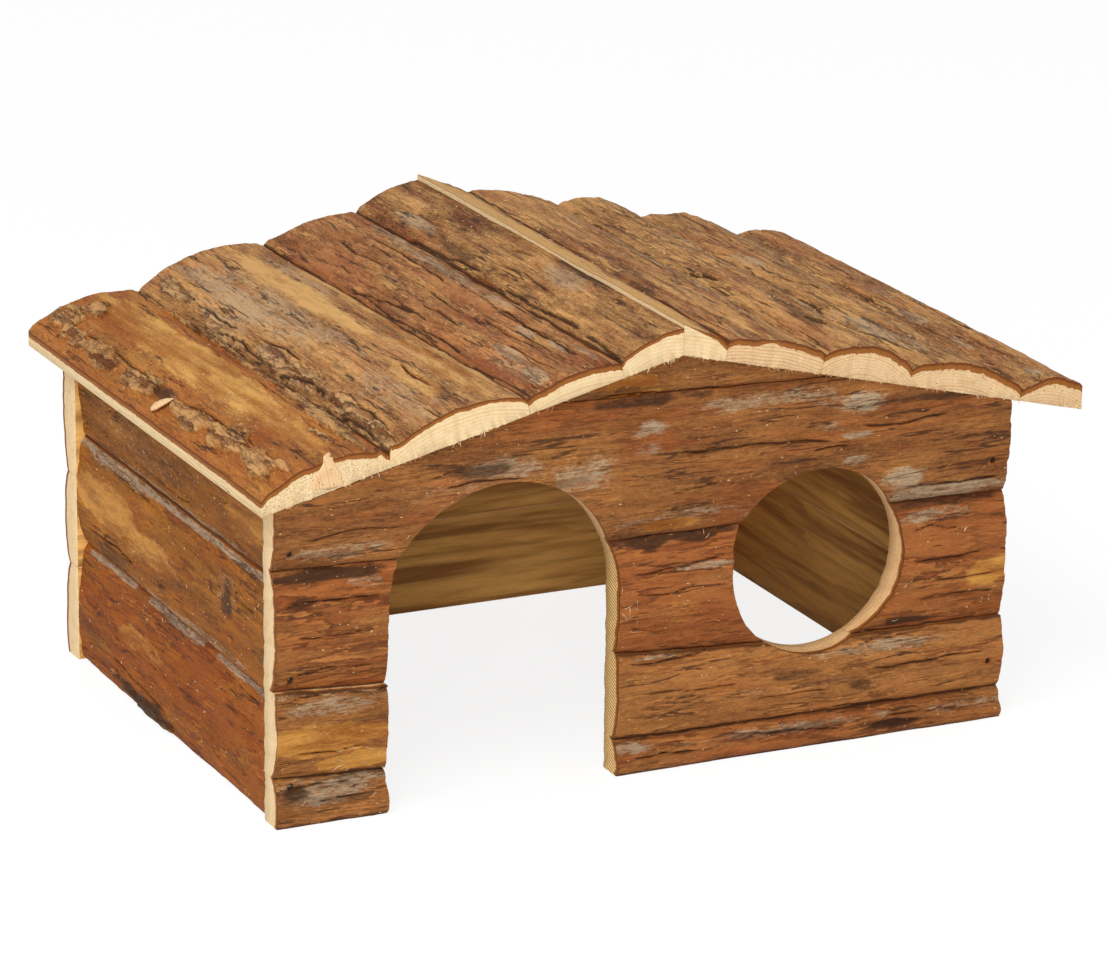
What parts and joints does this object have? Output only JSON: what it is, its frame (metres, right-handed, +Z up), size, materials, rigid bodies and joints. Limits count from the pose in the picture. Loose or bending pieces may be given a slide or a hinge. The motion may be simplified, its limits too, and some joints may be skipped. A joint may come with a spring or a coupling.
{
  "type": "hamster house",
  "caption": "Rustic bottomless hamster house of half-round bark slabs, with an arched door, a round window and a low fixed gable roof that overhangs at the side and back.",
  "frame": {"origin": "on the ground, under the middle of the whole house's outline", "axes": "+X to the viewer's right along the front wall, +Y towards the back, +Z up; the door is in the -Y wall"},
  "size_m": [0.2688, 0.1918, 0.1385],
  "materials": {
    "roof_bark_wood": "natural bark on the outside, pale sawn wood on the ends and underside",
    "wall_bark_wood": "natural bark on the outside, pale sawn wood on the ends and inside",
    "brad_steel": "dull wire"
  },
  "bodies": {
    "root": {"back_bottom_board": "wall_bark_wood", "back_corner_brads": "brad_steel", "back_gable_board": "wall_bark_wood", "back_gable_cap": "wall_bark_wood", "back_middle_board": "wall_bark_wood", "back_roof_brads": "brad_steel", "front_bottom_board_left": "wall_bark_wood", "front_bottom_board_right": "wall_bark_wood", "front_corner_brads": "brad_steel", "front_gable_board": "wall_bark_wood", "front_gable_cap": "wall_bark_wood", "front_middle_board_left": "wall_bark_wood", "front_middle_board_right": "wall_bark_wood", "front_roof_brads": "brad_steel", "front_upper_board_centre": "wall_bark_wood", "front_upper_board_left": "wall_bark_wood", "front_upper_board_right": "wall_bark_wood", "left_roof_board_1": "roof_bark_wood", "left_roof_board_2": "roof_bark_wood", "left_roof_board_3": "roof_bark_wood", "left_roof_board_4": "roof_bark_wood", "left_wall_bottom_board": "wall_bark_wood", "left_wall_middle_board": "wall_bark_wood", "left_wall_top_board": "wall_bark_wood", "right_roof_board_1": "roof_bark_wood", "right_roof_board_2": "roof_bark_wood", "right_roof_board_3": "roof_bark_wood", "right_roof_board_4": "roof_bark_wood", "right_roof_board_5": "roof_bark_wood", "right_wall_bottom_board": "wall_bark_wood", "right_wall_middle_board": "wall_bark_wood", "right_wall_top_board": "wall_bark_wood"}
  },
  "joints": []
}
